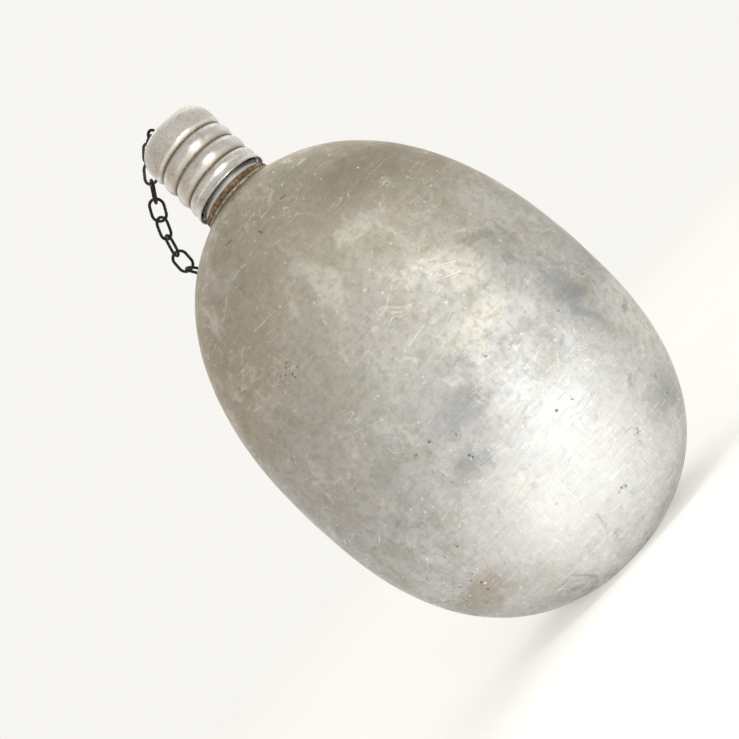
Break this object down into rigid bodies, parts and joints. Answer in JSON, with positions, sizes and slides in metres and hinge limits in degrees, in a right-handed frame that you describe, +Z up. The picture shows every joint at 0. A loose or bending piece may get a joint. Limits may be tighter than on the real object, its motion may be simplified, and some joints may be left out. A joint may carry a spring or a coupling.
{
  "type": "canteen",
  "caption": "Flattened oval aluminium field flask with a ridged screw cap that is kept on the neck by a steel link chain",
  "frame": {"origin": "Centre of the flat base, on the surface that the flask stands on", "axes": "+Z up along the neck axis, X across the flask's width, Y through its depth with the front face toward -Y and the chain's lug at the back"},
  "size_m": [0.145, 0.074, 0.2433],
  "materials": {
    "body": "old spun aluminium with grey bloom, stains, fine scratches and pits",
    "neck": "machined aluminium, bright at the land and brown with dirt by the shoulder",
    "cap": "pressed aluminium, worn bright on the ridges",
    "band": "rusted steel strip",
    "chain": "dark, lightly rusted steel wire",
    "seal": "pressed cork"
  },
  "bodies": {
    "flask": {"flask_body": "body", "threaded_neck": "neck"},
    "band": {"neck_band": "band"},
    "seal": {"cap_seal": "seal", "seal_backing": "cap"},
    "cap": {"cap_shell": "cap"},
    "eye": {"swivel_eye": "chain", "swivel_washer": "cap", "keeper_washer": "chain"},
    "eye_ring_body": {"eye_ring": "chain"},
    "chain_link_01_body": {"chain_link_01": "chain"},
    "chain_link_02_body": {"chain_link_02": "chain"},
    "chain_link_03_body": {"chain_link_03": "chain"},
    "chain_link_04_body": {"chain_link_04": "chain"},
    "chain_link_05_body": {"chain_link_05": "chain"},
    "chain_link_06_body": {"chain_link_06": "chain"},
    "chain_link_07_body": {"chain_link_07": "chain"},
    "chain_link_08_body": {"chain_link_08": "chain"},
    "chain_link_09_body": {"chain_link_09": "chain"},
    "chain_link_10_body": {"chain_link_10": "chain"},
    "chain_link_11_body": {"chain_link_11": "chain"},
    "end_ring_body": {"end_ring": "chain"}
  },
  "joints": [
    {"name": "cap_lift", "type": "slide", "parent": "flask", "child": "seal", "axis": [0, 0, 1], "range_m": [0, 0.018]},
    {"name": "cap_turn", "type": "hinge", "parent": "seal", "child": "cap", "pos_m": [0, 0, 0.2], "axis": [0, 0, 1], "range_deg": [0, 1625]},
    {"name": "tether_turn", "type": "hinge", "parent": "flask", "child": "band", "pos_m": [0, 0, 0.197], "axis": [0, 0, 1], "continuous": true},
    {"name": "eye_lift", "type": "slide", "parent": "band", "child": "eye", "axis": [0, 0, 1], "range_m": [0, 0.0182]},
    {"name": "eye_ring_swing", "type": "hinge", "parent": "eye", "child": "eye_ring_body", "pos_m": [-0.00619, 0.00357, 0.24108], "axis": [-0.8246, -0.5459, 0.1483], "range_deg": [0, 5.2]},
    {"name": "chain_link_01_swing", "type": "hinge", "parent": "eye_ring_body", "child": "chain_link_01_body", "pos_m": [-0.00882, 0.0059, 0.24008], "axis": [-0.9101, -0.4118, 0.0474], "range_deg": [0, 4.1]},
    {"name": "chain_link_02_swing", "type": "hinge", "parent": "chain_link_01_body", "child": "chain_link_02_body", "pos_m": [-0.01438, 0.01058, 0.23711], "axis": [-0.981, 0.0311, -0.1915], "range_deg": [0, 8.9]},
    {"name": "chain_link_03_swing", "type": "hinge", "parent": "chain_link_02_body", "child": "chain_link_03_body", "pos_m": [-0.01967, 0.01479, 0.23313], "axis": [-0.2622, 0.4953, -0.8282], "range_deg": [0, 21.6]},
    {"name": "chain_link_04_swing", "type": "hinge", "parent": "chain_link_03_body", "child": "chain_link_04_body", "pos_m": [-0.02459, 0.01851, 0.22828], "axis": [0.5897, -0.1251, -0.7979], "range_deg": [0, 18.4]},
    {"name": "chain_link_05_swing", "type": "hinge", "parent": "chain_link_04_body", "child": "chain_link_05_body", "pos_m": [-0.02903, 0.02174, 0.22266], "axis": [0.7202, 0.2133, 0.6602], "range_deg": [0, 8]},
    {"name": "chain_link_06_swing", "type": "hinge", "parent": "chain_link_05_body", "child": "chain_link_06_body", "pos_m": [-0.03282, 0.02442, 0.21633], "axis": [-0.2591, 0.9406, 0.2195], "range_deg": [0, 14.2]},
    {"name": "chain_link_07_swing", "type": "hinge", "parent": "chain_link_06_body", "child": "chain_link_07_body", "pos_m": [-0.03562, 0.02646, 0.20929], "axis": [-0.7423, -0.1992, 0.6398], "range_deg": [0, 25.6]},
    {"name": "chain_link_08_swing", "type": "hinge", "parent": "chain_link_07_body", "child": "chain_link_08_body", "pos_m": [-0.03655, 0.02751, 0.20156], "axis": [0.7581, 0.0177, 0.6519], "range_deg": [0, 30]},
    {"name": "chain_link_09_swing", "type": "hinge", "parent": "chain_link_08_body", "child": "chain_link_09_body", "pos_m": [-0.03305, 0.02651, 0.19461], "axis": [0.3652, 0.9296, 0.0499], "range_deg": [0, 14.7]},
    {"name": "chain_link_10_swing", "type": "hinge", "parent": "chain_link_09_body", "child": "chain_link_10_body", "pos_m": [-0.02596, 0.02384, 0.19256], "axis": [0.8519, 0.4325, -0.2954], "range_deg": [0, 13.2]},
    {"name": "chain_link_11_swing", "type": "hinge", "parent": "chain_link_10_body", "child": "chain_link_11_body", "pos_m": [-0.01868, 0.02105, 0.19346], "axis": [0.2058, -0.2676, -0.9413], "range_deg": [0, 5.5]},
    {"name": "end_ring_swing", "type": "hinge", "parent": "chain_link_11_body", "child": "end_ring_body", "pos_m": [-0.01162, 0.01838, 0.19564], "axis": [-0.423, -0.9027, 0.0794], "range_deg": [0, 33]}
  ],
  "couplings": [
    {"joint": "cap_turn", "follows": "cap_lift", "rad_per_m": 1570.8},
    {"joint": "eye_lift", "follows": "cap_lift", "ratio": 1},
    {"joint": "eye_ring_swing", "follows": "cap_lift", "rad_per_m": 4.741},
    {"joint": "chain_link_01_swing", "follows": "cap_lift", "rad_per_m": 3.659},
    {"joint": "chain_link_02_swing", "follows": "cap_lift", "rad_per_m": 8.332},
    {"joint": "chain_link_03_swing", "follows": "cap_lift", "rad_per_m": 20.699},
    {"joint": "chain_link_04_swing", "follows": "cap_lift", "rad_per_m": 17.587},
    {"joint": "chain_link_05_swing", "follows": "cap_lift", "rad_per_m": 7.463},
    {"joint": "chain_link_06_swing", "follows": "cap_lift", "rad_per_m": 13.432},
    {"joint": "chain_link_07_swing", "follows": "cap_lift", "rad_per_m": 24.523},
    {"joint": "chain_link_08_swing", "follows": "cap_lift", "rad_per_m": 28.822},
    {"joint": "chain_link_09_swing", "follows": "cap_lift", "rad_per_m": 13.927},
    {"joint": "chain_link_10_swing", "follows": "cap_lift", "rad_per_m": 12.521},
    {"joint": "chain_link_11_swing", "follows": "cap_lift", "rad_per_m": 5.035},
    {"joint": "end_ring_swing", "follows": "cap_lift", "rad_per_m": 31.688}
  ]
}
